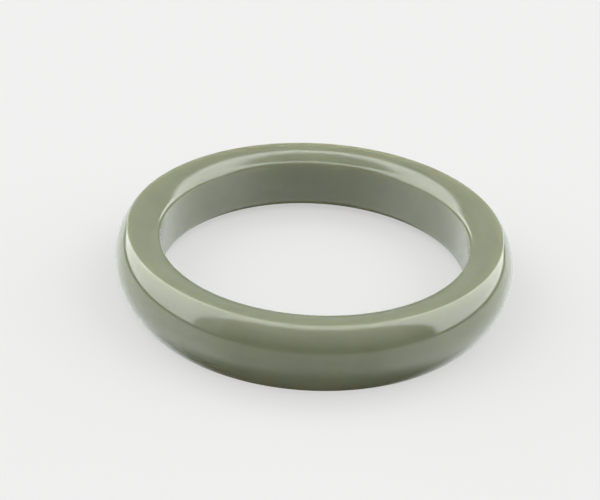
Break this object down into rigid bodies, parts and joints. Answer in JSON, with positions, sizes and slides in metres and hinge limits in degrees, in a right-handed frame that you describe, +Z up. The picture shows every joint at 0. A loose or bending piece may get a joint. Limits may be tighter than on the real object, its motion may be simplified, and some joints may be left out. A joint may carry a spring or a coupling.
{
  "type": "bangle bracelet",
  "caption": "Closed ring bangle of polished celadon jade, with a domed outside and faces that fall softly towards the opening.",
  "frame": {"origin": "centre of the ring on the flat face that it rests on", "axes": "+Z up along the ring's axis, the way the hand goes through; the ring is round, so +X and +Y are free"},
  "size_m": [0.0748, 0.0748, 0.0132],
  "materials": {
    "jade": "polished"
  },
  "bodies": {
    "root": {"bangle": "jade"}
  },
  "joints": []
}
